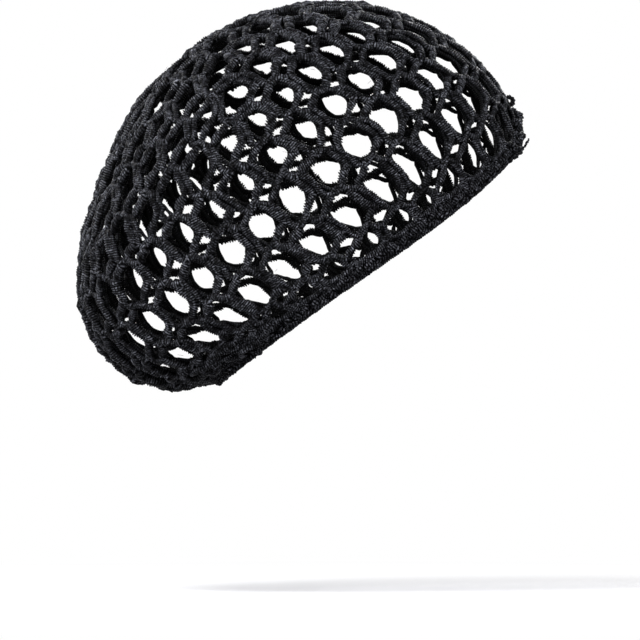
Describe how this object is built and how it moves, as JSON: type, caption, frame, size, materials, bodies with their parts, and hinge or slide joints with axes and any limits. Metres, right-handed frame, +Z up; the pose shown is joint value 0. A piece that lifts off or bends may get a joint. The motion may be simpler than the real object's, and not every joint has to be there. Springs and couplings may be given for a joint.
{
  "type": "crocheted hairnet",
  "caption": "Worn crocheted hairnet: an open mesh bag of thick black yarn, full at the back, closed by a dense crocheted edge band round a tilted head opening.",
  "frame": {"origin": "centre of the tilted head opening, where the hairnet sits on a head", "axes": "+X is the front, where the face comes out, +Y is the wearer's left and +Z is up with the head upright; the head opening faces forwards and down"},
  "size_m": [0.2687, 0.1972, 0.2364],
  "materials": {
    "mesh_yarn": "ribbed black rayon yarn with a soft sheen",
    "edging_yarn": "dense black crochet stitches, matte"
  },
  "bodies": {
    "root": {"net": "mesh_yarn", "edge_band": "edging_yarn"}
  },
  "joints": []
}
